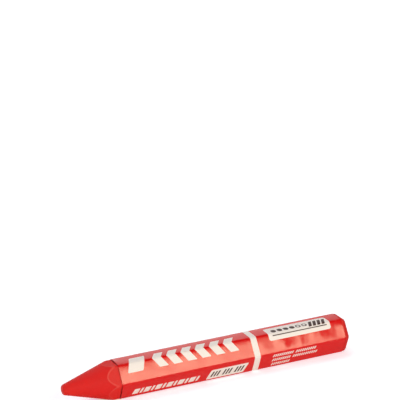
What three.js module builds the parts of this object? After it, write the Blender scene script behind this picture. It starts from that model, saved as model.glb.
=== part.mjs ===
// Six-sided wax marking crayon in a printed paper wrapper, in millimetres.
// The wax is cast with a conical nose. The wrapper is one sheet, wound once round the stick, tacked
// to the wax along its first edge and glued down on itself along its last.
// Every shape is drawn with the stick standing on its tip: local Z runs from the tip to the butt
// end, and local X and Y span its cross-section. The group lays the crayon down on one flat.
import * as THREE from 'three';
import { mergeVertices } from 'three/addons/utils/BufferGeometryUtils.js';

// Wax stick
const stickLength = 120;
const acrossFlats = 13.8;
const edgeRadius = 1.2; // rounding of the six long edges
const noseLength = 20.2; // from the tip to where the cone would leave unrounded edges
const tipRadius = 1.9; // of the cone, carried on to the plane of the tip
const tipRounding = 1.15; // between the cone and the flat end of the tip
const buttRounding = 2; // of the edges round the butt face
const mitreRadius = 0.15; // least rounding of the long edges where they run over the butt's

// Paper wrapper and its glue
const noseToWrapper = 1.8; // bare wax between the nose and the wrapper's front edge
const wrapperToButt = 2.3; // bare wax behind the wrapper's rear edge
const paperThickness = 0.1;
const glueThickness = 0.03;
const contactGap = 0.01; // on each side of a glue line
const lapWidth = 4; // of the sheet on itself
const lapStep = 1; // length of paper that climbs onto the first edge
const firstEdgeGap = 0.2; // from the climbing paper to the first edge
const glueMargin = 0.4; // from a glue line to the paper's long edges
const glueEndMargin = 1.5; // from a glue line to the wrapper's front and rear edges

// Fineness of the facets
const stepsPerEdge = 8;
const stepsPerFlat = 12;
const stepsPerTip = 5;
const stepsPerButt = 6;
const stepsPerClimb = 4;

const sides = 6;
const sideAngle = (2 * Math.PI) / sides;
const lapSideAngle = -sideAngle / 2; // the lap lies on the lower side at the back
const halfAcross = acrossFlats / 2;
const cornerReach = halfAcross / Math.cos(sideAngle / 2); // of the unrounded edges
const flatLength = 2 * (halfAcross - edgeRadius) * Math.tan(sideAngle / 2);
const edgeLength = edgeRadius * sideAngle;
const sideLength = flatLength + edgeLength;
const girth = sides * sideLength;

const wrapperStart = noseLength + noseToWrapper;
const wrapperLength = stickLength - wrapperStart - wrapperToButt;
const glueLine = glueThickness + 2 * contactGap;
const lapRise = paperThickness + glueLine;
const firstEdge = -lapWidth / 2; // girth positions are measured from the middle of the lap's side
const lastEdge = girth + lapWidth / 2;
const climbEnd = girth + firstEdge - firstEdgeGap;
const climbStart = climbEnd - lapStep;

// A place on the outline as its side, its share of the way from the middle of that side's flat to
// the flat's end, and the turn made on the rounded edge after it. Distances are measured round the
// girth from the middle of the side that carries the lap.
function placeAt(distance) {
  const fromSideStart = distance + flatLength / 2;
  const side = Math.floor(fromSideStart / sideLength);
  const along = fromSideStart - side * sideLength;
  const share = (2 * Math.min(along, flatLength)) / flatLength - 1;
  const turn = Math.max(0, along - flatLength) / edgeRadius;
  return { side, share, turn };
}

// The point at a place on a rounded six-sided outline of any size, and the outline's normal there.
function pointAt({ side, share, turn }, half, radius) {
  const flatAngle = lapSideAngle + side * sideAngle;
  const flatNormal = new THREE.Vector2(Math.cos(flatAngle), Math.sin(flatAngle));
  const tangent = new THREE.Vector2(-flatNormal.y, flatNormal.x);
  const normal = new THREE.Vector2(Math.cos(flatAngle + turn), Math.sin(flatAngle + turn));
  const toFlat = half - radius;
  const alongFlat = share * toFlat * Math.tan(sideAngle / 2);
  const point = flatNormal.multiplyScalar(toFlat);
  point.addScaledVector(tangent, alongFlat).addScaledVector(normal, radius);
  return { point, normal };
}

// Distances between two places on the girth at which the outline bends, finely on each edge.
function bendsBetween(from, to) {
  const bends = [];
  const firstSide = Math.floor(from / sideLength) - 1;
  const lastSide = Math.ceil(to / sideLength) + 1;
  for (let side = firstSide; side <= lastSide; side += 1) {
    const edgeStart = side * sideLength + flatLength / 2;
    for (let step = 0; step <= stepsPerEdge; step += 1) {
      bends.push(edgeStart + (edgeLength * step) / stepsPerEdge);
    }
  }
  return bends.filter((distance) => distance > from && distance < to);
}

// Places all round the wax's outline, with even steps on the flats and on the rounded edges.
function placesRound() {
  const distances = [];
  for (let side = 0; side < sides; side += 1) {
    const flatStart = side * sideLength - flatLength / 2;
    for (let step = 0; step < stepsPerFlat; step += 1) {
      distances.push(flatStart + (flatLength * step) / stepsPerFlat);
    }
    for (let step = 0; step < stepsPerEdge; step += 1) {
      distances.push(flatStart + flatLength + (edgeLength * step) / stepsPerEdge);
    }
  }
  return distances.map(placeAt);
}

// Rounding of the tip, as the radius and height of each ring from the flat end to the cone.
function tipRings(slope) {
  const coneAngle = Math.atan(slope);
  const sweep = Math.PI / 2 - coneAngle;
  const rounding = Math.min(tipRounding, (0.9 * tipRadius) / Math.tan(sweep / 2));
  const flatRadius = tipRadius - rounding * Math.tan(sweep / 2);
  const rings = [];
  for (let step = 0; step <= stepsPerTip; step += 1) {
    const angle = (sweep * step) / stepsPerTip;
    const radius = flatRadius + rounding * Math.sin(angle);
    rings.push({ radius, height: rounding * (1 - Math.cos(angle)) });
  }
  return rings;
}

// One closed skin through rings of equally many points, from the tip's ring to the butt's.
function skinOf(rings, tipCentre, buttCentre) {
  const count = rings[0].length;
  const points = [...rings.flat(), tipCentre, buttCentre];
  const tipIndex = points.length - 2;
  const buttIndex = points.length - 1;
  const lastRing = (rings.length - 1) * count;
  const index = [];
  for (let place = 0; place < count; place += 1) {
    const next = (place + 1) % count;
    for (let ring = 0; ring < lastRing; ring += count) {
      const above = ring + count;
      index.push(ring + place, ring + next, above + next);
      index.push(ring + place, above + next, above + place);
    }
    index.push(tipIndex, next, place);
    index.push(buttIndex, lastRing + place, lastRing + next);
  }
  const geometry = new THREE.BufferGeometry().setFromPoints(points);
  geometry.setIndex(index);
  geometry.computeVertexNormals();
  return geometry;
}

// The cast stick: a rounded tip, a cone that each flat cuts in a curved line, and a butt end whose
// edges are rounded. Where that rounding is deeper than the long edges', those end in a sharp mitre.
function waxStickGeometry() {
  const slope = (cornerReach - tipRadius) / noseLength;
  const places = placesRound();
  const outline = places.map((place) => pointAt(place, halfAcross, edgeRadius).point);
  const rings = tipRings(slope).map(({ radius, height }) =>
    outline.map((point) => {
      const onRing = point.clone().setLength(radius);
      return new THREE.Vector3(onRing.x, onRing.y, height);
    }),
  );
  const noseBase = outline.map((point) => {
    const height = (point.length() - tipRadius) / slope;
    return new THREE.Vector3(point.x, point.y, height);
  });
  rings.push(noseBase);
  for (let step = 0; step <= stepsPerButt; step += 1) {
    const angle = (Math.PI * step) / (2 * stepsPerButt);
    const inset = buttRounding * (1 - Math.cos(angle));
    const radius = Math.max(edgeRadius - inset, mitreRadius);
    const height = stickLength - buttRounding * (1 - Math.sin(angle));
    const ring = places.map((place) => {
      const { point } = pointAt(place, halfAcross - inset, radius);
      return new THREE.Vector3(point.x, point.y, height);
    });
    rings.push(ring);
  }
  const tipCentre = new THREE.Vector3(0, 0, 0);
  const buttCentre = new THREE.Vector3(0, 0, stickLength);
  return skinOf(rings, tipCentre, buttCentre);
}

// A layer that follows the girth from one place to another, at a height over the wax that may
// change on the way, drawn as a closed outline and run along the stick.
function layerGeometry(distances, heightAt, thickness, length) {
  const inner = [];
  const outer = [];
  for (const distance of distances) {
    const { point, normal } = pointAt(placeAt(distance), halfAcross, edgeRadius);
    const height = heightAt(distance);
    inner.push(point.clone().addScaledVector(normal, height));
    outer.push(point.clone().addScaledVector(normal, height + thickness));
  }
  const shape = new THREE.Shape([...outer, ...inner.reverse()]);
  const geometry = new THREE.ExtrudeGeometry(shape, { depth: length, bevelEnabled: false });
  geometry.deleteAttribute('normal');
  geometry.deleteAttribute('uv');
  const closed = mergeVertices(geometry);
  closed.computeVertexNormals();
  return closed;
}

// Height of the sheet's inner side over the wax: flat on its glue line for one turn, then up onto
// the first edge.
function sheetHeight(distance) {
  const share = THREE.MathUtils.smoothstep(distance, climbStart, climbEnd);
  return glueLine + lapRise * share;
}

function wrapperGeometry() {
  const distances = [firstEdge, ...bendsBetween(firstEdge, lastEdge), lastEdge];
  for (let step = 0; step <= stepsPerClimb; step += 1) {
    distances.push(climbStart + (lapStep * step) / stepsPerClimb);
  }
  distances.sort((a, b) => a - b);
  return layerGeometry(distances, sheetHeight, paperThickness, wrapperLength);
}

// A glue line under the lap's width, at a steady height over the wax.
function glueGeometry(height) {
  const from = firstEdge + glueMargin;
  const to = -firstEdge - glueMargin;
  const distances = [from, ...bendsBetween(from, to), to];
  const length = wrapperLength - 2 * glueEndMargin;
  return layerGeometry(distances, () => height, glueThickness, length);
}

const wax = new THREE.MeshStandardMaterial({ color: 0xd9302b, roughness: 0.5, metalness: 0 });
const paper = new THREE.MeshStandardMaterial({ color: 0xd6232a, roughness: 0.25, metalness: 0 });
const glue = new THREE.MeshStandardMaterial({ color: 0xe9e2cf, roughness: 0.4, metalness: 0 });

function named(name, geometry, material, start) {
  const mesh = new THREE.Mesh(geometry, material.clone());
  mesh.name = name;
  mesh.position.z = start;
  return mesh;
}

const crayon = new THREE.Group();
crayon.add(
  named('wax_stick', waxStickGeometry(), wax, 0),
  named('paper_wrapper', wrapperGeometry(), paper, wrapperStart),
  named('tack_glue', glueGeometry(contactGap), glue, wrapperStart + glueEndMargin),
  named('lap_glue', glueGeometry(glueLine + paperThickness + contactGap), glue,
    wrapperStart + glueEndMargin),
);

// Laid down: the tip points to -X, and the wrapper's lowest flat rests on Z = 0.
crayon.quaternion.set(0.5, 0.5, 0.5, 0.5);
crayon.position.set(-stickLength / 2, 0, halfAcross + glueLine + paperThickness);

export default crayon;
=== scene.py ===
import math

import bmesh
import bpy
from mathutils import Matrix, Vector, noise


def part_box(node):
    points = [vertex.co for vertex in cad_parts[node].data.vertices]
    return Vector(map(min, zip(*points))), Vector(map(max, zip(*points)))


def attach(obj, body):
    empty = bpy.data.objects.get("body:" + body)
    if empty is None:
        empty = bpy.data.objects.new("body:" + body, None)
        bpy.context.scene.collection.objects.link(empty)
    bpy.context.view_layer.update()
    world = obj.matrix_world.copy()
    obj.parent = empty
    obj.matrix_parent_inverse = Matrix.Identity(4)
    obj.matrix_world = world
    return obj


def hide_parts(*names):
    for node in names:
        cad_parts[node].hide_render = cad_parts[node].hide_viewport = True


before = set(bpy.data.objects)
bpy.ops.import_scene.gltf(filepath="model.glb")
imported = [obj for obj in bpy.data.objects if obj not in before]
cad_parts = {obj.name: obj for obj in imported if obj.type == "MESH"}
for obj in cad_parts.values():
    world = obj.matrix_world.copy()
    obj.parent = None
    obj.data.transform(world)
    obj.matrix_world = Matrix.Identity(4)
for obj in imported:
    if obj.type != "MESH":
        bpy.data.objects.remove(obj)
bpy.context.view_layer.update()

MM = 0.001
SIDE_ANGLE = math.pi / 3  # from one of the six sides to the next
UPPER_FRONT_ANGLE = math.radians(150)  # of that side's normal, turned from +Y towards +Z

# Sizes that the frame gives: the stick lies along X on one flat of its wrapper
wax_low, wax_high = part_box("wax_stick")
paper_low, paper_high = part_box("paper_wrapper")
TIP_X, BUTT_X = wax_low.x, wax_high.x
STICK_LENGTH = BUTT_X - TIP_X
CENTRE_Z = (wax_low.z + wax_high.z) / 2
HALF_ACROSS = (wax_high.z - wax_low.z) / 2
CORNER_REACH = HALF_ACROSS / math.cos(SIDE_ANGLE / 2)
EDGE_RADIUS = (CORNER_REACH - wax_high.y) / (CORNER_REACH / HALF_ACROSS - 1)
PAPER_FRONT, PAPER_REAR = paper_low.x, paper_high.x
PAPER_HALF = (paper_high.z - paper_low.z) / 2
PAPER_EDGE_RADIUS = EDGE_RADIUS + PAPER_HALF - HALF_ACROSS

# Sizes of the wax stick's own forms
NOSE_LENGTH = 20.2 * MM
TIP_RADIUS = 1.9 * MM
TIP_ROUNDING = 1.15 * MM
BUTT_ROUNDING = 2 * MM
RIM_SOFTNESS = 0.08 * MM  # how close to each other the cone and a side are where they start to blend
NOSE_SLOPE = (CORNER_REACH - TIP_RADIUS) / NOSE_LENGTH

# Sizes of the sheet that is wound round the stick
PAPER_THICKNESS = 0.1 * MM
GLUE_LINE = 0.05 * MM
LAP_WIDTH = 4 * MM
LAP_STEP = 1 * MM  # length of paper that climbs onto the first edge
FIRST_EDGE_GAP = 0.2 * MM  # from the climbing paper to the first edge
LAP_RISE = PAPER_THICKNESS + GLUE_LINE
FLAT = 2 * (PAPER_HALF - PAPER_EDGE_RADIUS) * math.tan(SIDE_ANGLE / 2)
SIDE = FLAT + PAPER_EDGE_RADIUS * SIDE_ANGLE
GIRTH = 6 * SIDE
SHEET_LENGTH = PAPER_REAR - PAPER_FRONT
SHEET_WIDTH = GIRTH + LAP_WIDTH
CLIMB_END = -GIRTH / 2 + LAP_WIDTH / 2 + FIRST_EDGE_GAP
OUTER_SHARE = 0.96  # of the bake map's height, for the printed side of the sheet
STRIP_MARGIN = 0.1  # of the strip that is left for the bare side, kept free on each side

# How the sheet stands off the wax. Sides are counted from the upper one at the front, over the top.
BASE_SLACK = 0.07 * MM
MOST_SLACK = 0.3 * MM
TIGHT_SIDES = (-3, -2, 3, 4)  # the lower side at the back, which carries the lap, and the bottom
BROAD_WAVES = (6 * MM, 4 * MM)  # lengths of the slackness's waves along the stick and across a flat
FINE_WAVES = (2.4 * MM, 2.2 * MM)
EVEN_UP_TO = 20 * MM  # place along the stick up to which it stays smooth
UNEVEN_FROM = 30 * MM
EDGE_LIFTS = {1: 0.32 * MM, -1: 0.28 * MM}  # of the front edge, on the top and the lower front side
EDGE_LIFT_REACH = 1.6 * MM
# Soft bulges that handling left in the paper on the upper front flat, in millimetres: place along the
# stick, place across the flat, reach along, reach across and height
BULGES = (
    (22.3, -0.5, 1.6, 2.0, 0.02),
    (31.0, -1.8, 2.3, 2.4, 0.15),
    (38.4, -1.0, 1.3, 2.4, 0.06),
    (46.8, -0.6, 4.3, 4.6, 0.1),
    (60.5, 0.8, 4.2, 5.5, 0.21),
)

# Fineness of the two meshes
TIP_STEPS = 10
BUTT_STEPS = 8
WAX_FLAT_STEPS = 64
WAX_EDGE_STEPS = 10
NOSE_SPACING = 1 * MM
RIM_SPACING = 0.11 * MM
CAP_INSET = 0.25 * MM
MERGE_REACH = 0.002 * MM
END_REACH = 0.1 * MM  # how near to an end of the stick its open edge is looked for
SHEET_SPACING = 0.4 * MM
SHEET_FLAT_STEPS = 12
SHEET_EDGE_STEPS = 8
CLIMB_STEPS = 5
LEAST_ROW_GAP = 0.02 * MM

# The photograph's view
CAMERA_AZIMUTH = -22.35
CAMERA_ELEVATION = 17.12
CAMERA_ROLL = 3.36
CAMERA_DISTANCE = 864 * MM
CAMERA_LEFT = 2.15 * MM
CAMERA_RAISE = 63.27 * MM
CAMERA_AIM_Z = 6.65 * MM
SENSOR_WIDTH = 36
LENS = 198

# The studio, in metres, and its levels, where 1 is white
FLOOR_SIZE = 6
WALL_LEVEL = 1.08
CEILING_LEVEL = 0.1
FAR_END_LEVEL = 0.4  # share of the room's light that is left past the butt end
FLOOR_LIFT = 0.5
MIRRORED_FLOOR_LIFT = 0.15


def linear(hex_colour):
    """An sRGB hex colour as linear red, green, blue and alpha."""
    values = [int(hex_colour[place:place + 2], 16) / 255 for place in (1, 3, 5)]
    return [v / 12.92 if v <= 0.04045 else ((v + 0.055) / 1.055) ** 2.4 for v in values] + [1]


def put(tree, kind, inputs=None, **settings):
    """Adds a node with its settings. An input is linked where it is a socket, or else set."""
    node = tree.nodes.new(kind)
    for name, value in settings.items():
        setattr(node, name, value)
    for name, value in (inputs or {}).items():
        if isinstance(value, bpy.types.NodeSocket):
            tree.links.new(value, node.inputs[name])
        else:
            node.inputs[name].default_value = value
    return node


def new_material(name, roughness, ior):
    """An empty procedural material and its shader."""
    material = bpy.data.materials.new(name)
    material.use_nodes = True
    shader = material.node_tree.nodes["Principled BSDF"]
    shader.inputs["Roughness"].default_value = roughness
    shader.inputs["IOR"].default_value = ior
    return material, material.node_tree, shader


def blend_colours(tree, share, first, second):
    """A colour between two others."""
    mix = put(tree, "ShaderNodeMix", {"Factor": share}, data_type="RGBA")
    for name, value in (("A", first), ("B", second)):
        socket = [s for s in mix.inputs if s.name == name and s.type == "RGBA"][0]
        if isinstance(value, bpy.types.NodeSocket):
            tree.links.new(value, socket)
        else:
            socket.default_value = value
    return [s for s in mix.outputs if s.type == "RGBA"][0]


def choose_edges(obj, wanted):
    """Selects only the wanted edges of a mesh that is in edit mode."""
    bpy.ops.mesh.select_all(action="DESELECT")
    bpy.ops.mesh.select_mode(type="EDGE")
    mesh = bmesh.from_edit_mesh(obj.data)
    for edge in mesh.edges:
        if wanted(edge):
            edge.select_set(True)
    bmesh.update_edit_mesh(obj.data)


def start_piece(name):
    """Names the new primitive and settles its place in its mesh."""
    piece = bpy.context.object
    piece.name = piece.data.name = name
    bpy.ops.object.transform_apply(location=True, rotation=True, scale=True)
    return piece


def pick(piece):
    """Selects one piece alone."""
    bpy.ops.object.select_all(action="DESELECT")
    bpy.context.view_layer.objects.active = piece
    piece.select_set(True)


def outline_at(side, share, turn, half, radius):
    """A point and its normal on the rounded six-sided outline, seen from the tip and measured from the
    stick's middle. Sides are counted from the upper one at the front, over the top. The share goes
    from -1 to 1 along a side's flat, and the turn from 0 to 1 round the edge after it."""
    angle = UPPER_FRONT_ANGLE - SIDE_ANGLE * side
    flat_normal = Vector((0, math.cos(angle), math.sin(angle)))
    tangent = Vector((0, flat_normal.z, -flat_normal.y))
    to_flat = half - radius
    point = flat_normal * to_flat + tangent * share * to_flat * math.tan(SIDE_ANGLE / 2)
    angle -= SIDE_ANGLE * turn
    normal = Vector((0, math.cos(angle), math.sin(angle)))
    return point + normal * radius, normal


# The wax stick


def steps_between(start, end, step):
    """Evenly spaced places from a start up to, but not at, an end."""
    count = math.ceil((end - start) / step)
    return [start + (end - start) * place / count for place in range(count)]


def stick_rings():
    """Rings of points from the tip to the butt: each one's place along the stick, the radius that the
    nose leaves it, and how far the butt's rounding draws it in."""
    sweep = math.pi / 2 - math.atan(NOSE_SLOPE)
    flat_radius = TIP_RADIUS - TIP_ROUNDING * math.tan(sweep / 2)
    rings = []
    for angle in steps_between(0, sweep, sweep / TIP_STEPS):
        x = TIP_X + TIP_ROUNDING * (1 - math.cos(angle))
        rings.append((x, flat_radius + TIP_ROUNDING * math.sin(angle), 0))
    cone_start = TIP_X + TIP_ROUNDING * (1 - math.cos(sweep))
    rim_start = TIP_X + (HALF_ACROSS - TIP_RADIUS - RIM_SOFTNESS) / NOSE_SLOPE
    rim_end = TIP_X + NOSE_LENGTH + RIM_SOFTNESS / NOSE_SLOPE
    butt_start = BUTT_X - BUTT_ROUNDING
    places = steps_between(cone_start, rim_start, NOSE_SPACING)
    places += steps_between(rim_start, rim_end, RIM_SPACING)
    places += [rim_end, butt_start - BUTT_ROUNDING / 4]
    rings += [(x, TIP_RADIUS + NOSE_SLOPE * (x - TIP_X), 0) for x in places]
    clear_of_nose = 2 * CORNER_REACH
    for step in range(BUTT_STEPS + 1):
        angle = math.pi / 2 * step / BUTT_STEPS
        x = butt_start + BUTT_ROUNDING * math.sin(angle)
        rings.append((x, clear_of_nose, BUTT_ROUNDING * (1 - math.cos(angle))))
    return rings


def cast_wax_stick():
    """The cast stick: every point lies on the cone of the nose or on the six sides, whichever is
    nearer to the middle, and the rim between the two is a little rounded."""
    rings = stick_rings()
    places = []
    for side in range(6):
        places += [(side, share, 0) for share in steps_between(-1, 1, 2 / WAX_FLAT_STEPS)]
        places += [(side, 1, turn) for turn in steps_between(0, 1, 1 / WAX_EDGE_STEPS)]
    bpy.ops.object.select_all(action="DESELECT")
    bpy.ops.mesh.primitive_grid_add(x_subdivisions=len(rings) - 1, y_subdivisions=len(places), size=2)
    stick = start_piece("cast_wax_stick")
    for vertex in stick.data.vertices:
        x, nose_radius, inset = rings[round((vertex.co.x + 1) / 2 * (len(rings) - 1))]
        place = places[round((vertex.co.y + 1) / 2 * len(places)) % len(places)]
        point = outline_at(*place, HALF_ACROSS, EDGE_RADIUS)[0] * (1 - inset / HALF_ACROSS)
        radius = point.length
        overlap = max(RIM_SOFTNESS - abs(nose_radius - radius), 0)
        point *= (min(nose_radius, radius) - overlap ** 2 / (4 * RIM_SOFTNESS)) / radius
        vertex.co = (x, point.y, point.z + CENTRE_Z)

    bpy.ops.object.mode_set(mode="EDIT")
    bpy.ops.mesh.select_all(action="SELECT")
    bpy.ops.mesh.remove_doubles(threshold=MERGE_REACH)
    for end in (TIP_X, BUTT_X):
        choose_edges(
            stick, lambda edge: edge.is_boundary and abs(edge.verts[0].co.x - end) < END_REACH
        )
        bpy.ops.mesh.edge_face_add()
        bpy.ops.mesh.inset(thickness=CAP_INSET)
    bpy.ops.mesh.select_all(action="SELECT")
    bpy.ops.mesh.normals_make_consistent(inside=False)
    bpy.ops.object.mode_set(mode="OBJECT")
    bpy.ops.object.shade_smooth_by_angle(angle=math.radians(35))

    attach(stick, "root")
    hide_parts("wax_stick")
    return stick


# The wrapper


def place_at(distance):
    """Side, share of its flat and turn round the edge after it, at a distance round the sheet.
    Distances start in the middle of the upper side at the front and grow over the top."""
    side, along = divmod(distance + FLAT / 2, SIDE)
    return side, 2 * min(along / FLAT, 1) - 1, max(along - FLAT, 0) / (SIDE - FLAT)


def smooth_step(value, start, end):
    """A share that grows smoothly from 0 at the start to 1 at the end."""
    share = min(max((value - start) / (end - start), 0), 1)
    return share * share * (3 - 2 * share)


def lap_height(distance):
    """How far the last edge's end of the sheet climbs over its first edge."""
    return LAP_RISE * smooth_step(-distance, -CLIMB_END - LAP_STEP, -CLIMB_END)


def waves(x, distance, lengths, layer):
    """Smooth unevenness of the sheet, from about -1 to 1. Each layer has a pattern of its own."""
    along, across = lengths
    return noise.noise(Vector((x / along, distance / across, layer)))


def slackness(x, distance):
    """How far the paper stands off the wax: it is tight over the ridges and slack on the flats."""
    side, share, turn = place_at(distance)
    if turn > 0 or side in TIGHT_SIDES:
        return 0
    towards_rear = smooth_step(x, EVEN_UP_TO, UNEVEN_FROM)
    broad = waves(x, distance, BROAD_WAVES, layer=3.1)
    fine = waves(x, distance, FINE_WAVES, layer=8.7)
    slack = BASE_SLACK * (1 + 0.3 * broad + towards_rear * (0.3 * broad + 0.4 * fine))
    if side == 0:
        for along, across, reach_along, reach_across, height in BULGES:
            off_along = (x / MM - along) / reach_along
            off_across = (distance / MM - across) / reach_across
            slack += height * MM * math.exp(-off_along ** 2 - off_across ** 2)
    return min(max(slack, 0), MOST_SLACK) * (1 - abs(share) ** 3)


def edge_lift(x, distance):
    """The front edge of the paper stands a little off the wax on two of the flats."""
    side, share, turn = place_at(distance)
    if turn > 0 or side not in EDGE_LIFTS:
        return 0
    fading = math.exp(-(x - PAPER_FRONT) / EDGE_LIFT_REACH)
    return EDGE_LIFTS[side] * math.cos(math.pi / 2 * share) * fading


def sheet_rows():
    """Distances at which the sheet has a row of points: finely on ridges and where the lap climbs."""
    rows = [-SHEET_WIDTH / 2, SHEET_WIDTH / 2]
    rows += [CLIMB_END + LAP_STEP * step / CLIMB_STEPS for step in range(CLIMB_STEPS + 1)]
    for side in range(-4, 5):
        flat_start = side * SIDE - FLAT / 2
        edge_start = flat_start + FLAT
        rows += [flat_start + FLAT * step / SHEET_FLAT_STEPS for step in range(SHEET_FLAT_STEPS)]
        rows += [
            edge_start + (SIDE - FLAT) * step / SHEET_EDGE_STEPS for step in range(SHEET_EDGE_STEPS)
        ]
    rows = sorted(row for row in rows if abs(row) <= SHEET_WIDTH / 2)
    return rows[:1] + [row for before, row in zip(rows, rows[1:]) if row - before > LEAST_ROW_GAP]


def printed_wrapper():
    """The label sheet: cut flat, wound round the stick, and given its thickness."""
    rows = sheet_rows()
    columns = round(SHEET_LENGTH / SHEET_SPACING)
    bpy.ops.object.select_all(action="DESELECT")
    bpy.ops.mesh.primitive_grid_add(x_subdivisions=columns, y_subdivisions=len(rows) - 1, size=2)
    sheet = start_piece("printed_wrapper")
    mesh = sheet.data
    flat_places = {}
    for vertex in mesh.vertices:
        x = PAPER_FRONT + SHEET_LENGTH * (vertex.co.x + 1) / 2
        row = rows[round((vertex.co.y + 1) / 2 * (len(rows) - 1))]
        flat_places[vertex.index] = (x, row)
        point, normal = outline_at(*place_at(row), PAPER_HALF, PAPER_EDGE_RADIUS)
        point += normal * (lap_height(row) + max(slackness(x, row), edge_lift(x, row)))
        vertex.co = (x, point.y, point.z + CENTRE_Z)
    bake_map = mesh.uv_layers[0]
    bake_map.name = "OFBake"
    for loop in mesh.loops:
        x, row = flat_places[loop.vertex_index]
        u = (x - PAPER_FRONT) / SHEET_LENGTH
        v = (row + SHEET_WIDTH / 2) / SHEET_WIDTH * OUTER_SHARE
        bake_map.data[loop.index].uv = (u, v)

    wall = sheet.modifiers.new("paper_thickness", "SOLIDIFY")
    wall.thickness = PAPER_THICKNESS
    wall.offset = -1
    wall.use_even_offset = True
    wall.material_offset = 1
    wall.material_offset_rim = 1
    pick(sheet)
    bpy.ops.object.modifier_apply(modifier=wall.name)

    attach(sheet, "root")
    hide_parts("paper_wrapper")
    return sheet


def finish_sheet(sheet, printed, bare):
    """Gives the sheet its two papers, and its bare side a strip of its own in the bake map."""
    mesh = sheet.data
    mesh.materials.append(printed)
    mesh.materials.append(bare)
    strip = 1 - OUTER_SHARE
    places = mesh.uv_layers["OFBake"].data
    for face in mesh.polygons:
        if face.material_index == 1:
            for loop in face.loop_indices:
                u, v = places[loop].uv
                share = STRIP_MARGIN + (1 - 2 * STRIP_MARGIN) * v / OUTER_SHARE
                places[loop].uv = (u, OUTER_SHARE + strip * share)
    pick(sheet)
    bpy.ops.object.shade_smooth_by_angle(angle=math.radians(40))


# The print


def printed_marks_group():
    """Node group for one row of printed marks, in millimetres on the flat sheet.
    The marks are rounded blocks that may lean or bend to an arrow; the result is 1 on a mark."""
    group = bpy.data.node_groups.new("row_of_printed_marks", "ShaderNodeTree")
    names = (
        "x", "across", "start", "middle", "length", "pitch",
        "half width", "half height", "corner", "lean", "arrow",
    )
    for name in names:
        group.interface.new_socket(name, in_out="INPUT", socket_type="NodeSocketFloat")
    group.interface.new_socket("mark", in_out="OUTPUT", socket_type="NodeSocketFloat")
    given = put(group, "NodeGroupInput").outputs
    sockets = {name: given[name] for name in names}
    steps = (
        ("off middle", "SUBTRACT", "across", "middle"),
        ("distance", "ABSOLUTE", "off middle"),
        ("leaning", "MULTIPLY", "off middle", "lean"),
        ("bending", "MULTIPLY_ADD", "distance", "arrow", "leaning"),
        ("bent start", "ADD", "start", "bending"),
        ("along", "SUBTRACT", "x", "bent start"),
        ("in cell", "WRAP", "along", "pitch", 0.0),
        ("off cell middle", "MULTIPLY_ADD", "pitch", -0.5, "in cell"),
        ("off mark", "ABSOLUTE", "off cell middle"),
        ("straight width", "SUBTRACT", "half width", "corner"),
        ("straight height", "SUBTRACT", "half height", "corner"),
        ("past width", "SUBTRACT", "off mark", "straight width"),
        ("past height", "SUBTRACT", "distance", "straight height"),
        ("outside width", "MAXIMUM", "past width", 0.0),
        ("outside height", "MAXIMUM", "past height", 0.0),
        ("width squared", "MULTIPLY", "outside width", "outside width"),
        ("both squared", "MULTIPLY_ADD", "outside height", "outside height", "width squared"),
        ("outside", "SQRT", "both squared"),
        ("past nearest", "MAXIMUM", "past width", "past height"),
        ("inside", "MINIMUM", "past nearest", 0.0),
        ("off straight", "ADD", "outside", "inside"),
        ("off edge", "SUBTRACT", "off straight", "corner"),
        ("off row middle", "MULTIPLY_ADD", "length", -0.5, "along"),
        ("off row", "ABSOLUTE", "off row middle"),
        ("past row", "MULTIPLY_ADD", "length", -0.5, "off row"),
        ("nearest", "MAXIMUM", "off edge", "past row"),
    )
    for name, operation, *values in steps:
        inputs = {place: sockets.get(value, value) for place, value in enumerate(values)}
        sockets[name] = put(group, "ShaderNodeMath", inputs, operation=operation).outputs[0]
    softness = 0.03  # of a mark's edge
    mark = put(
        group,
        "ShaderNodeMapRange",
        {"Value": sockets["nearest"], "From Min": softness, "From Max": -softness},
        interpolation_type="SMOOTHSTEP",
    ).outputs[0]
    put(group, "NodeGroupOutput", {"mark": mark})
    return group


# Rows of marks in millimetres: x of the row's start, middle across the sheet, count, pitch, and each
# mark's width, height, corner radius, lean and arrow. The wide print lies on the upper front flat and
# the top, the small print on the lower front flat.
WIDE_WHITE_ROWS = (
    (-33.4, 4.1, 1, 6.4, 6.4, 7.8, 0.5, 0.36, 0),
    (-25.0, 4.1, 6, 6.0, 3.7, 7.8, 0.25, 0, 0.6),
    (25.6, 5.25, 1, 27.0, 27.0, 8.1, 0.9, 0, 0),
)
WIDE_DARK_ROWS = (
    (27.4, 5.8, 4, 2.7, 2.1, 2.6, 1.04, 0, 0),
    (38.2, 5.8, 2, 2.7, 2.1, 2.6, 1.04, 0, 0),
    (43.9, 5.75, 4, 1.9, 1.35, 4.1, 0.15, 0.36, 0),
    (27.4, 3.1, 1, 23.8, 23.8, 0.42, 0.05, 0, 0),
)
WIDE_OPEN_ROWS = ((38.2, 5.8, 2, 2.7, 1.1, 1.5, 0.54, 0, 0),)
SMALL_WHITE_ROWS = (
    (-34.2, -9.0, 6, 4.7, 2.4, 2.7, 0.25, 0.36, 0),
    (-31.85, -9.0, 6, 4.7, 0.95, 2.7, 0.25, 0.36, 0),
    (-1.4, -8.5, 1, 16.0, 16.0, 5.2, 0.6, 0.36, 0),
    (25.8, -5.15, 10, 0.9, 0.55, 1.4, 0.1, 0.36, 0),
    (35.7, -5.15, 10, 0.9, 0.55, 1.4, 0.1, 0.36, 0),
    (25.8, -7.6, 9, 0.9, 0.55, 1.4, 0.1, 0.36, 0),
    (34.8, -7.6, 12, 0.9, 0.55, 1.4, 0.1, 0.36, 0),
    (25.8, -10.05, 9, 0.9, 0.55, 1.4, 0.1, 0.36, 0),
)
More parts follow.
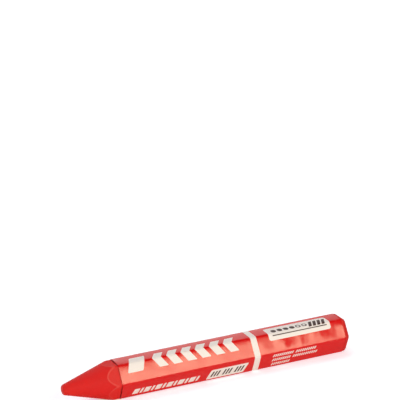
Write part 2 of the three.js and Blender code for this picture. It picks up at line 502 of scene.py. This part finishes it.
SMALL_DARK_ROWS = (
    (-0.4, -8.5, 3, 1.3, 0.7, 3, 0.12, 0.36, 0),
    (4.7, -8.5, 3, 1.3, 0.7, 3, 0.12, 0.36, 0),
    (9.8, -8.5, 3, 1.3, 0.7, 3, 0.12, 0.36, 0),
)
RING = (17.8, 0, 1, 2.5, 2.5, 200, 0.05, 0, 0)
# The wide print comes again on the upper flat at the back, the small print on the bottom flat. Each
# starts past one distance round the sheet and is moved there by another, in millimetres.
BACK_PRINT_START = 10.35
BACK_PRINT_SHIFT = 11.2
BOTTOM_PRINT_START = -11.75
BOTTOM_PRINT_SHIFT = 7.99


def marks(tree, group, x, across, rows):
    """All marks of some rows as one mask."""
    mask = None
    for start, middle, count, pitch, width, height, corner, lean, arrow in rows:
        sizes = {
            "x": x, "across": across, "start": start, "middle": middle, "length": count * pitch,
            "pitch": pitch, "half width": width / 2, "half height": height / 2,
            "corner": corner, "lean": lean, "arrow": arrow,
        }
        mark = put(tree, "ShaderNodeGroup", sizes, node_tree=group).outputs["mark"]
        if mask is not None:
            mark = put(tree, "ShaderNodeMath", {0: mask, 1: mark}, operation="MAXIMUM").outputs[0]
        mask = mark
    return mask


def print_masks(tree):
    """Where the flat sheet is left white and where it is printed dark, and the distance round it in
    millimetres."""
    group = printed_marks_group()
    on_map = put(tree, "ShaderNodeUVMap", uv_map="OFBake").outputs[0]
    on_map = put(tree, "ShaderNodeSeparateXYZ", {0: on_map}).outputs
    x = put(
        tree, "ShaderNodeMath",
        {0: on_map["X"], 1: SHEET_LENGTH / MM, 2: PAPER_FRONT / MM}, operation="MULTIPLY_ADD",
    ).outputs[0]
    across = put(
        tree, "ShaderNodeMath",
        {0: on_map["Y"], 1: SHEET_WIDTH / MM / OUTER_SHARE, 2: -SHEET_WIDTH / MM / 2},
        operation="MULTIPLY_ADD",
    ).outputs[0]
    at_back = put(
        tree, "ShaderNodeMath", {0: across, 1: BACK_PRINT_START}, operation="GREATER_THAN"
    ).outputs[0]
    wide_across = put(
        tree, "ShaderNodeMath",
        {0: at_back, 1: -BACK_PRINT_SHIFT, 2: across}, operation="MULTIPLY_ADD",
    ).outputs[0]
    at_bottom = put(
        tree, "ShaderNodeMath", {0: across, 1: BOTTOM_PRINT_START}, operation="LESS_THAN"
    ).outputs[0]
    small_across = put(
        tree, "ShaderNodeMath",
        {0: at_bottom, 1: BOTTOM_PRINT_SHIFT, 2: across}, operation="MULTIPLY_ADD",
    ).outputs[0]

    wide_white = marks(tree, group, x, wide_across, WIDE_WHITE_ROWS)
    small_white = marks(tree, group, x, small_across, SMALL_WHITE_ROWS)
    ring = marks(tree, group, x, across, (RING,))
    both_white = put(
        tree, "ShaderNodeMath", {0: wide_white, 1: small_white}, operation="MAXIMUM"
    ).outputs[0]
    white = put(tree, "ShaderNodeMath", {0: both_white, 1: ring}, operation="MAXIMUM").outputs[0]
    wide_dark = marks(tree, group, x, wide_across, WIDE_DARK_ROWS)
    wide_open = marks(tree, group, x, wide_across, WIDE_OPEN_ROWS)
    small_dark = marks(tree, group, x, small_across, SMALL_DARK_ROWS)
    wide_dark = put(
        tree, "ShaderNodeMath", {0: wide_dark, 1: wide_open}, operation="SUBTRACT"
    ).outputs[0]
    dark = put(tree, "ShaderNodeMath", {0: wide_dark, 1: small_dark}, operation="MAXIMUM").outputs[0]
    return white, dark, across


def rubbed_ridges(tree, place, across):
    """Where handling has rubbed the ink thin, in patches about a millimetre long on the ridges."""
    half_side = SIDE / MM / 2
    worn_from = half_side - 0.4
    most_worn_from = half_side - 0.1
    off_flat = put(
        tree, "ShaderNodeMath", {0: across, 1: half_side, 2: -half_side}, operation="WRAP"
    ).outputs[0]
    off_flat = put(tree, "ShaderNodeMath", {0: off_flat}, operation="ABSOLUTE").outputs[0]
    ridge = put(
        tree, "ShaderNodeMapRange",
        {"Value": off_flat, "From Min": worn_from, "From Max": most_worn_from, "To Max": 0.2},
    ).outputs[0]
    rubbing = put(
        tree, "ShaderNodeTexNoise", {"Vector": place, "Scale": 1 / (1.2 * MM), "Detail": 6}
    ).outputs["Fac"]
    wear_and_highlight = put(
        tree, "ShaderNodeMapRange", {"Value": rubbing, "From Min": 0.58, "From Max": 0.7}
    ).outputs[0]
    return put(tree, "ShaderNodeMath", {0: wear_and_highlight, 1: ridge}, operation="MULTIPLY").outputs[0]


def varnished_print():
    """Gloss-coated label paper, offset printed in red and varnished.
    The varnish mirrors the lamps softly, duller where it was handled; the ink under it is a deep, even
    red, rubbed a little thin here and there along the ridges."""
    material, tree, shader = new_material("gloss_coated_label_paper", 0.15, 1.38)
    white, dark, across = print_masks(tree)
    place = put(tree, "ShaderNodeTexCoord").outputs["Object"]
    ink_film = put(
        tree, "ShaderNodeTexNoise", {"Vector": place, "Scale": 1 / (5 * MM), "Detail": 3}
    ).outputs["Fac"]
    red = blend_colours(tree, ink_film, linear("#DC0607"), linear("#E40A09"))
    colour = blend_colours(tree, white, red, linear("#F9F0EE"))
    colour = blend_colours(tree, dark, colour, linear("#3E1F1D"))
    colour = blend_colours(tree, rubbed_ridges(tree, place, across), colour, linear("#EE6A5C"))
    tree.links.new(colour, shader.inputs["Base Color"])

    # The white paper carries no ink, so it is less glossy
    handling = put(
        tree, "ShaderNodeTexNoise", {"Vector": place, "Scale": 1 / (4 * MM), "Detail": 4}
    ).outputs["Fac"]
    gloss = put(
        tree, "ShaderNodeMapRange",
        {"Value": handling, "From Min": 0.35, "From Max": 0.7, "To Min": 0.12, "To Max": 0.21},
    ).outputs[0]
    finish = put(
        tree, "ShaderNodeMapRange", {"Value": white, "To Min": 0, "To Max": 0.26}
    ).outputs[0]
    finish = put(tree, "ShaderNodeMath", {0: gloss, 1: finish}, operation="ADD").outputs[0]
    tree.links.new(finish, shader.inputs["Roughness"])

    # The fibres that show through the coating are really finer, and are drawn coarse enough to show
    fibre = put(
        tree, "ShaderNodeTexNoise", {"Vector": place, "Scale": 1 / (0.25 * MM), "Detail": 3}
    ).outputs["Fac"]
    peel = put(
        tree, "ShaderNodeTexNoise", {"Vector": place, "Scale": 1 / (1.4 * MM), "Detail": 1}
    ).outputs["Fac"]
    varnish = put(
        tree, "ShaderNodeBump", {"Height": peel, "Strength": 1, "Distance": 0.012 * MM}
    ).outputs[0]
    relief = put(
        tree, "ShaderNodeBump",
        {"Height": fibre, "Strength": 0.5, "Distance": 0.004 * MM, "Normal": varnish},
    ).outputs[0]
    tree.links.new(relief, shader.inputs["Normal"])
    return material


def bare_paper():
    """The same paper's uncoated side and cut edges: chalky white, rough and faintly fibrous, and
    stained red at the two ends, where the edge rubs on the wax. Its fibres are drawn coarse enough to
    show."""
    material, tree, shader = new_material("uncoated_wood_pulp_paper", 0.85, 1.45)
    place = put(tree, "ShaderNodeTexCoord").outputs["Object"]
    fibre = put(
        tree, "ShaderNodeTexNoise", {"Vector": place, "Scale": 1 / (0.3 * MM), "Detail": 5}
    ).outputs["Fac"]
    colour = blend_colours(tree, fibre, linear("#D9CDBF"), linear("#EFE7DC"))
    along = put(tree, "ShaderNodeSeparateXYZ", {0: place}).outputs["X"]
    off_middle = put(
        tree, "ShaderNodeMath", {0: along, 1: (PAPER_FRONT + PAPER_REAR) / 2}, operation="SUBTRACT"
    ).outputs[0]
    off_middle = put(tree, "ShaderNodeMath", {0: off_middle}, operation="ABSOLUTE").outputs[0]
    stain = put(
        tree, "ShaderNodeMapRange",
        {
            "Value": off_middle,
            "From Min": SHEET_LENGTH / 2 - 0.3 * MM, "From Max": SHEET_LENGTH / 2 - 0.05 * MM,
        },
    ).outputs[0]
    colour = blend_colours(tree, stain, colour, linear("#C0383A"))
    tree.links.new(colour, shader.inputs["Base Color"])
    bump = put(
        tree, "ShaderNodeBump", {"Height": fibre, "Strength": 0.3, "Distance": 0.01 * MM}
    ).outputs[0]
    tree.links.new(bump, shader.inputs["Normal"])
    return material


# The wax and the paste


def wax_distances(tree, place):
    """Distances in metres that the finishes of the wax follow: along the stick from its tip, inwards
    from the nearest flat, inwards from the cone of the nose, out from the axis, and out from the axis
    towards the upper side at the front."""
    upper_front = (0, math.cos(UPPER_FRONT_ANGLE), math.sin(UPPER_FRONT_ANGLE))
    slant = (0, -upper_front[1], upper_front[2])
    centred = put(
        tree, "ShaderNodeVectorMath", {0: place, 1: (TIP_X, 0, CENTRE_Z)}, operation="SUBTRACT"
    ).outputs[0]
    folded = put(tree, "ShaderNodeVectorMath", {0: centred}, operation="ABSOLUTE").outputs[0]
    to_slant = put(
        tree, "ShaderNodeVectorMath", {0: folded, 1: slant}, operation="DOT_PRODUCT"
    ).outputs["Value"]
    parts = put(tree, "ShaderNodeSeparateXYZ", {0: folded}).outputs
    to_flat = put(
        tree, "ShaderNodeMath", {0: to_slant, 1: parts["Z"]}, operation="MAXIMUM"
    ).outputs[0]
    in_flats = put(
        tree, "ShaderNodeMath", {0: HALF_ACROSS, 1: to_flat}, operation="SUBTRACT"
    ).outputs[0]
    across = put(
        tree, "ShaderNodeVectorMath", {0: folded, 1: (0, 1, 1)}, operation="MULTIPLY"
    ).outputs[0]
    radius = put(tree, "ShaderNodeVectorMath", {0: across}, operation="LENGTH").outputs["Value"]
    cone = put(
        tree, "ShaderNodeMath", {0: parts["X"], 1: NOSE_SLOPE, 2: TIP_RADIUS}, operation="MULTIPLY_ADD"
    ).outputs[0]
    in_cone = put(tree, "ShaderNodeMath", {0: cone, 1: radius}, operation="SUBTRACT").outputs[0]
    to_upper_front = put(
        tree, "ShaderNodeVectorMath", {0: centred, 1: upper_front}, operation="DOT_PRODUCT"
    ).outputs["Value"]
    return parts["X"], in_flats, in_cone, radius, to_upper_front


def painted_rim_highlight(tree, in_flats, in_cone, radius):
    """The thin painted highlight line where the cone runs out into the flats. It lies a little
    on the flats' side of the rim, and widens towards the ridges."""
    line_shift = 0.09 * MM
    widening = 0.16
    off_rim = put(tree, "ShaderNodeMath", {0: in_cone, 1: in_flats}, operation="SUBTRACT").outputs[0]
    off_line = put(
        tree, "ShaderNodeMath", {0: off_rim, 1: line_shift}, operation="SUBTRACT"
    ).outputs[0]
    off_line = put(tree, "ShaderNodeMath", {0: off_line}, operation="ABSOLUTE").outputs[0]
    past_flat = put(
        tree, "ShaderNodeMath", {0: radius, 1: HALF_ACROSS}, operation="SUBTRACT"
    ).outputs[0]
    off_line = put(
        tree, "ShaderNodeMath", {0: past_flat, 1: -widening, 2: off_line}, operation="MULTIPLY_ADD"
    ).outputs[0]
    return put(
        tree, "ShaderNodeMapRange",
        {"Value": off_line, "From Min": 0.13 * MM, "From Max": 0.02 * MM},
        interpolation_type="SMOOTHSTEP",
    ).outputs[0]


def painted_shadow_by_paper(tree, along, to_upper_front):
    """A painted shadow line on the wax in the steps at the paper's two ends, weaker on the upper
    side at the front."""
    off_middle = put(
        tree, "ShaderNodeMath",
        {0: along, 1: (PAPER_FRONT + PAPER_REAR) / 2 - TIP_X}, operation="SUBTRACT",
    ).outputs[0]
    off_middle = put(tree, "ShaderNodeMath", {0: off_middle}, operation="ABSOLUTE").outputs[0]
    step = put(
        tree, "ShaderNodeMapRange",
        {
            "Value": off_middle,
            "From Min": SHEET_LENGTH / 2 + 0.45 * MM, "From Max": SHEET_LENGTH / 2 + 0.15 * MM,
        },
        interpolation_type="SMOOTHSTEP",
    ).outputs[0]
    amount = put(
        tree, "ShaderNodeMapRange",
        {
            "Value": to_upper_front, "From Min": HALF_ACROSS * 0.9, "From Max": HALF_ACROSS * 0.98,
            "To Min": 0.95, "To Max": 0.4,
        },
    ).outputs[0]
    return put(tree, "ShaderNodeMath", {0: step, 1: amount}, operation="MULTIPLY").outputs[0]


def wax_relief(tree, place, blade_marks, on_butt):
    """Fine lines that the mould leaves along the stick, a grain like orange peel, small bubble pits,
    and the blade's streaks on the butt. The result is the normal."""
    stretched = put(tree, "ShaderNodeMapping", {"Vector": place, "Scale": (0.06, 1, 1)}).outputs[0]
    mould_lines = put(
        tree, "ShaderNodeTexNoise", {"Vector": stretched, "Scale": 1 / (0.5 * MM), "Detail": 2}
    ).outputs["Fac"]
    grain = put(
        tree, "ShaderNodeTexNoise",
        {"Vector": place, "Scale": 1 / (0.8 * MM), "Detail": 5, "Roughness": 0.6},
    ).outputs["Fac"]

    # A pit lies in the middle of some cells of the pattern
    bubbles = put(tree, "ShaderNodeTexVoronoi", {"Vector": place, "Scale": 1 / (1.6 * MM)}).outputs
    pit = put(
        tree, "ShaderNodeMapRange",
        {"Value": bubbles["Distance"], "From Min": 0.05, "From Max": 0.13},
        interpolation_type="SMOOTHSTEP",
    ).outputs[0]
    chance = put(tree, "ShaderNodeSeparateColor", {0: bubbles["Color"]}).outputs[0]
    filled = put(tree, "ShaderNodeMath", {0: chance, 1: 0.55}, operation="GREATER_THAN").outputs[0]
    pits = put(tree, "ShaderNodeMath", {0: pit, 1: filled}, operation="MAXIMUM").outputs[0]
    normal = None
    for height, strength, distance in (
        (mould_lines, 0.8, 0.04 * MM), (grain, 1, 0.06 * MM), (pits, 1, 0.06 * MM),
        (blade_marks, on_butt, 0.1 * MM),
    ):
        inputs = {"Height": height, "Strength": strength, "Distance": distance}
        if normal is not None:
            inputs["Normal"] = normal
        normal = put(tree, "ShaderNodeBump", inputs).outputs[0]
    return normal


def pigmented_wax():
    """Paraffin wax cast with red pigment: satin, a little translucent, faintly mottled and pitted by
    bubbles, and scraped flat across the butt. A painted highlight runs along the rim of the nose and a
    faint painted sheen lies on its bare flats, both most on the upper side at the front; painted shade
    darkens the butt's rounded edges, and a painted shadow line lies at the paper's two ends."""
    material, tree, shader = new_material("cast_pigmented_paraffin_wax", 0.6, 1.4)
    shader.inputs["Subsurface Weight"].default_value = 0.15
    shader.inputs["Subsurface Radius"].default_value = (1.0, 0.12, 0.08)
    shader.inputs["Subsurface Scale"].default_value = 0.8 * MM
    place = put(tree, "ShaderNodeTexCoord").outputs["Object"]
    along, in_flats, in_cone, radius, to_upper_front = wax_distances(tree, place)
    butt_face = STICK_LENGTH - 0.02 * MM
    butt_edges = STICK_LENGTH - BUTT_ROUNDING

    mottle = put(
        tree, "ShaderNodeTexNoise",
        {"Vector": place, "Scale": 1 / (3.5 * MM), "Detail": 5, "Roughness": 0.6},
    ).outputs["Fac"]
    colour = blend_colours(tree, mottle, linear("#D80806"), linear("#EA1A15"))
    crumbs = put(
        tree, "ShaderNodeTexNoise", {"Vector": place, "Scale": 1 / (0.45 * MM), "Detail": 2}
    ).outputs["Fac"]
    crumbs = put(
        tree, "ShaderNodeMapRange",
        {"Value": crumbs, "From Min": 0.67, "From Max": 0.78, "To Max": 0.25},
    ).outputs[0]
    colour = blend_colours(tree, crumbs, colour, linear("#F0716A"))

    # Streaks that the trimming blade left across the butt
    across_blade = put(
        tree, "ShaderNodeMapping",
        {"Vector": place, "Rotation": (math.radians(25), 0, 0), "Scale": (1, 16, 1)},
        vector_type="TEXTURE",
    ).outputs[0]
    blade_marks = put(
        tree, "ShaderNodeTexNoise", {"Vector": across_blade, "Scale": 1 / (0.8 * MM), "Detail": 4}
    ).outputs["Fac"]
    on_butt = put(
        tree, "ShaderNodeMath", {0: along, 1: butt_face}, operation="GREATER_THAN"
    ).outputs[0]
    scraped = put(
        tree, "ShaderNodeMapRange",
        {"Value": blade_marks, "From Min": 0.48, "From Max": 0.66, "To Max": 0.4},
    ).outputs[0]
    scraped = put(tree, "ShaderNodeMath", {0: scraped, 1: on_butt}, operation="MULTIPLY").outputs[0]
    colour = blend_colours(tree, scraped, colour, linear("#F05A50"))

    # The painted rim highlight and the painted sheen show most on the upper side at the front, where
    # the light falls
    lit_side = put(
        tree, "ShaderNodeMapRange",
        {
            "Value": to_upper_front, "From Min": HALF_ACROSS * 0.7, "From Max": HALF_ACROSS * 0.95,
            "To Min": 0.12, "To Max": 0.34,
        },
    ).outputs[0]
    # A painted highlight along the rim of the nose, stronger on the lit upper side at the front
    wear_and_highlight = painted_rim_highlight(tree, in_flats, in_cone, radius)
    wear_and_highlight = put(tree, "ShaderNodeMath", {0: wear_and_highlight, 1: lit_side}, operation="MULTIPLY").outputs[0]
    colour = blend_colours(tree, wear_and_highlight, colour, linear("#F2685E"))
    # A faint painted sheen on the bare flats of the wax, mostly on the upper side at the front
    painted_sheen = put(
        tree, "ShaderNodeMapRange",
        {"Value": in_flats, "From Min": 0.05 * MM, "From Max": 0.01 * MM, "To Max": 0.3},
    ).outputs[0]
    painted_sheen = put(tree, "ShaderNodeMath", {0: painted_sheen, 1: lit_side}, operation="MULTIPLY").outputs[0]
    colour = blend_colours(tree, painted_sheen, colour, linear("#F2685E"))

    # Painted shade darkens the rounded edges of the butt, and its trimmed face less
    painted_butt_shade = put(
        tree, "ShaderNodeMapRange",
        {
            "Value": along, "From Min": butt_edges, "From Max": butt_edges + BUTT_ROUNDING / 2,
            "To Max": 0.4,
        },
    ).outputs[0]
    painted_butt_shade = put(
        tree, "ShaderNodeMath", {0: on_butt, 1: -0.25, 2: painted_butt_shade}, operation="MULTIPLY_ADD"
    ).outputs[0]
    colour = blend_colours(tree, painted_butt_shade, colour, linear("#9A0A12"))
    # A painted shadow line on the wax at the paper's two ends
    painted_edge_shadow = painted_shadow_by_paper(tree, along, to_upper_front)
    colour = blend_colours(tree, painted_edge_shadow, colour, linear("#8E0408"))
    tree.links.new(colour, shader.inputs["Base Color"])

    # The satin varies with the mottling, and the painted shadow line at the paper's ends is duller than
    # the wax
    satin = put(
        tree, "ShaderNodeMapRange",
        {"Value": mottle, "From Min": 0.3, "From Max": 0.7, "To Min": 0.56, "To Max": 0.72},
    ).outputs[0]
    satin = put(
        tree, "ShaderNodeMath", {0: painted_edge_shadow, 1: 0.25, 2: satin}, operation="MULTIPLY_ADD"
    ).outputs[0]
    tree.links.new(satin, shader.inputs["Roughness"])
    tree.links.new(wax_relief(tree, place, blade_marks, on_butt), shader.inputs["Normal"])
    return material


def dried_paste():
    """Starch paste dried between paper and wax: yellowish, half clear and unevenly glossy."""
    material, tree, shader = new_material("dried_starch_paste", 0.4, 1.5)
    place = put(tree, "ShaderNodeTexCoord").outputs["Object"]
    streaks = put(
        tree, "ShaderNodeTexNoise", {"Vector": place, "Scale": 1 / (1.5 * MM), "Detail": 4}
    ).outputs["Fac"]
    colour = blend_colours(tree, streaks, linear("#D8CBAA"), linear("#EFE6CF"))
    tree.links.new(colour, shader.inputs["Base Color"])
    bump = put(
        tree, "ShaderNodeBump", {"Height": streaks, "Strength": 0.3, "Distance": 0.02 * MM}
    ).outputs[0]
    tree.links.new(bump, shader.inputs["Normal"])
    return material


# The studio


def facing(azimuth, elevation):
    """The way a camera looks, by the angle round the object and above the horizon, in degrees."""
    azimuth, elevation = math.radians(azimuth), math.radians(elevation)
    level = math.cos(elevation)
    return Vector((-math.sin(azimuth) * level, math.cos(azimuth) * level, -math.sin(elevation)))


def add_camera():
    """The photograph's view: a long lens, turned a little about its own axis."""
    look = facing(CAMERA_AZIMUTH, CAMERA_ELEVATION)
    right = Vector((look.y, -look.x, 0)).normalized()
    up = right.cross(look)
    roll = Matrix.Rotation(math.radians(CAMERA_ROLL), 3, look)
    right, up = roll @ right, roll @ up
    camera = bpy.data.cameras.new("camera")
    camera.sensor_width = SENSOR_WIDTH
    camera.lens = LENS
    camera.clip_start = 0.01
    holder = bpy.data.objects.new("camera", camera)
    bpy.context.scene.collection.objects.link(holder)
    pose = Matrix((right, up, -look)).transposed().to_4x4()
    aim = Vector((0, 0, CAMERA_AIM_Z))
    pose.translation = aim - look * CAMERA_DISTANCE - right * CAMERA_LEFT + up * CAMERA_RAISE
    holder.matrix_world = pose
    bpy.context.scene.camera = holder


def add_softbox(name, azimuth, elevation, distance, width, height, radiance, colour="#FFFFFF"):
    """A rectangular lamp that faces the object. Its width and height are angles, in degrees, and its
    radiance is that of its face, where 1 is white."""
    lamp = bpy.data.lights.new(name, "AREA")
    lamp.shape = "RECTANGLE"
    lamp.size = 2 * distance * math.tan(math.radians(width / 2))
    lamp.size_y = 2 * distance * math.tan(math.radians(height / 2))
    lamp.energy = radiance * math.pi * lamp.size * lamp.size_y
    lamp.color = linear(colour)[:3]
    holder = bpy.data.objects.new(name, lamp)
    bpy.context.scene.collection.objects.link(holder)
    target = Vector((0, 0, CENTRE_Z))
    towards_object = facing(azimuth, elevation)
    holder.location = target - towards_object * distance
    holder.rotation_euler = towards_object.to_track_quat("-Z", "Y").to_euler()


def add_room():
    """A white room, darker towards its ceiling, which the ridges mirror, and past the butt end."""
    room = bpy.data.worlds.new("white_room")
    bpy.context.scene.world = room
    room.use_nodes = True
    tree = room.node_tree
    direction = put(tree, "ShaderNodeTexCoord").outputs["Generated"]
    parts = put(tree, "ShaderNodeSeparateXYZ", {0: direction}).outputs
    strength = put(
        tree, "ShaderNodeMapRange",
        {"Value": parts["Z"], "To Min": WALL_LEVEL, "To Max": CEILING_LEVEL},
    ).outputs[0]
    shade = put(
        tree, "ShaderNodeMapRange",
        {"Value": parts["X"], "From Min": 0.3, "From Max": 0.9, "To Min": 1, "To Max": FAR_END_LEVEL},
    ).outputs[0]
    strength = put(tree, "ShaderNodeMath", {0: strength, 1: shade}, operation="MULTIPLY").outputs[0]
    background = tree.nodes["Background"]
    background.inputs["Color"].default_value = linear("#FFFFFF")
    tree.links.new(strength, background.inputs["Strength"])


def add_floor():
    """A pale floor. It looks lighter to the camera, and a little lighter in mirrors and through glass,
    than the light that it throws on the object."""
    bpy.ops.object.select_all(action="DESELECT")
    bpy.ops.mesh.primitive_plane_add(size=FLOOR_SIZE)
    floor = start_piece("floor")
    material, tree, shader = new_material("matt_white_paint", 0.9, 1.45)
    shader.inputs["Base Color"].default_value = linear("#FAFAFA")
    shader.inputs["Specular IOR Level"].default_value = 0
    ray = put(tree, "ShaderNodeLightPath").outputs
    mirrored = put(
        tree, "ShaderNodeMath",
        {0: ray["Is Glossy Ray"], 1: ray["Is Transmission Ray"]}, operation="MAXIMUM",
    ).outputs[0]
    mirrored = put(
        tree, "ShaderNodeMath", {0: mirrored, 1: MIRRORED_FLOOR_LIFT}, operation="MULTIPLY"
    ).outputs[0]
    lift = put(
        tree, "ShaderNodeMath",
        {0: ray["Is Camera Ray"], 1: FLOOR_LIFT, 2: mirrored}, operation="MULTIPLY_ADD",
    ).outputs[0]
    shader.inputs["Emission Color"].default_value = linear("#EAEFFF")
    tree.links.new(lift, shader.inputs["Emission Strength"])
    floor.data.materials.append(material)


add_camera()
add_room()
add_softbox(
    "key_softbox", azimuth=21, elevation=28.5, distance=3.0, width=13.4, height=21, radiance=12.6,
    colour="#FFF5D0",
)
add_softbox(
    "front_fill", azimuth=-15, elevation=12, distance=2.5, width=60, height=34, radiance=0.4
)
add_softbox(
    "overhead_scrim", azimuth=200, elevation=72, distance=3.0, width=32, height=32, radiance=2.2
)
add_softbox(
    "back_panel", azimuth=180, elevation=24, distance=2.5, width=50, height=30, radiance=0.45,
    colour="#FFF6F0",
)
add_floor()

stick = cast_wax_stick()
stick.data.materials.append(pigmented_wax())
finish_sheet(printed_wrapper(), varnished_print(), bare_paper())
paste = dried_paste()
for name in ("tack_glue", "lap_glue"):
    glue_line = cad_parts[name]
    glue_line.data.materials.clear()
    glue_line.data.materials.append(paste)

bpy.context.scene.view_settings.view_transform = "Standard"
